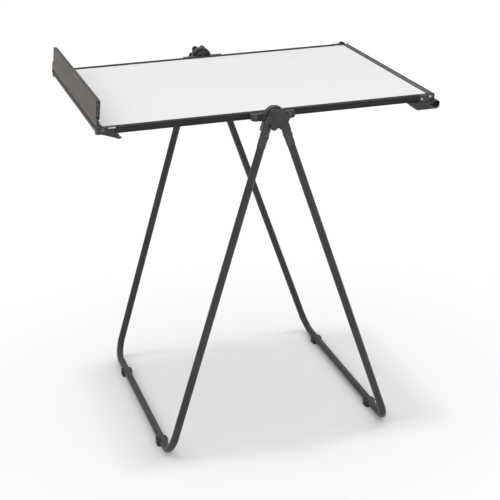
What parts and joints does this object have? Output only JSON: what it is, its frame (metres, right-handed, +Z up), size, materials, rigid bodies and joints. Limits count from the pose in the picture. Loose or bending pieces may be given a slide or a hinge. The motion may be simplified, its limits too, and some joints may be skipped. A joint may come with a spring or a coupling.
{
  "type": "folding easel table",
  "caption": "Folding A-frame tube stand holding a white writing board level between side knobs, with a hinged ledge along one end of the board and pad hooks under the other.",
  "frame": {"origin": "on the floor, under the centre of the whole stand", "axes": "+Z up; X runs along the board, with the ledge at -X and the pad hooks at +X; Y runs across the board along the pivot axis"},
  "size_m": [0.983, 0.8752, 1.0824],
  "materials": {
    "leg_paint": "satin black powder coat on steel tube",
    "black_mould": "fine-textured black moulding",
    "foot_rubber": "matt moulded rubber",
    "core_board": "raw fibreboard, dark backing",
    "white_surface": "smooth white dry-wipe laminate",
    "rail_anodised": "satin black anodised extrusion",
    "bronze_anodised": "satin dark bronze anodised extrusion",
    "grey_mould": "dark grey moulding",
    "black_screw": "blackened steel",
    "bright_steel": "zinc plated steel"
  },
  "bodies": {
    "left_leg": {"left_leg_tube": "leg_paint", "left_near_head": "black_mould", "left_far_head": "black_mould", "left_leg_rivets": "bright_steel", "left_near_foot": "foot_rubber", "left_far_foot": "foot_rubber", "left_foot_screws": "bright_steel"},
    "right_leg": {"right_leg_tube": "leg_paint", "right_near_head": "black_mould", "right_far_head": "black_mould", "right_leg_rivets": "bright_steel", "right_near_foot": "foot_rubber", "right_far_foot": "foot_rubber", "right_foot_screws": "bright_steel"},
    "board": {"board_core": "core_board", "writing_surface": "white_surface", "near_side_rail": "rail_anodised", "far_side_rail": "rail_anodised", "left_end_rail": "bronze_anodised", "right_end_rail": "rail_anodised", "near_left_corner": "black_mould", "far_left_corner": "black_mould", "near_right_corner": "black_mould", "far_right_corner": "black_mould", "near_pivot_bracket": "black_mould", "far_pivot_bracket": "black_mould", "bracket_screws": "black_screw", "near_pivot_bolt": "bright_steel", "far_pivot_bolt": "bright_steel", "pivot_washers": "bright_steel", "corner_screws": "bright_steel", "ledge_hinge_screws": "black_screw", "near_pad_hook": "grey_mould", "far_pad_hook": "grey_mould", "near_detent_spring": "bright_steel", "far_detent_spring": "bright_steel"},
    "ledge": {"ledge_bar": "bronze_anodised", "near_ledge_arm": "grey_mould", "far_ledge_arm": "grey_mould", "ledge_screws": "black_screw"},
    "near_knob": {"near_knob": "black_mould", "near_knob_insert": "bright_steel", "near_knob_cap": "grey_mould"},
    "far_knob": {"far_knob": "black_mould", "far_knob_insert": "bright_steel", "far_knob_cap": "grey_mould"}
  },
  "joints": [
    {"name": "leg_fold", "type": "hinge", "parent": "left_leg", "child": "right_leg", "pos_m": [-0.0045, 0, 1], "axis": [0, 1, 0], "range_deg": [0, 35]},
    {"name": "board_tilt", "type": "hinge", "parent": "left_leg", "child": "board", "pos_m": [-0.0045, 0, 1], "axis": [0, 1, 0], "range_deg": [-85, 85]},
    {"name": "ledge_fold", "type": "hinge", "parent": "board", "child": "ledge", "pos_m": [-0.4735, 0, 1.005], "axis": [0, 1, 0], "range_deg": [0, 78]},
    {"name": "near_knob_turn", "type": "hinge", "parent": "board", "child": "near_knob", "pos_m": [-0.0045, -0.4306, 1], "axis": [0, -1, 0], "continuous": true},
    {"name": "far_knob_turn", "type": "hinge", "parent": "board", "child": "far_knob", "pos_m": [-0.0045, 0.4306, 1], "axis": [0, 1, 0], "continuous": true}
  ]
}
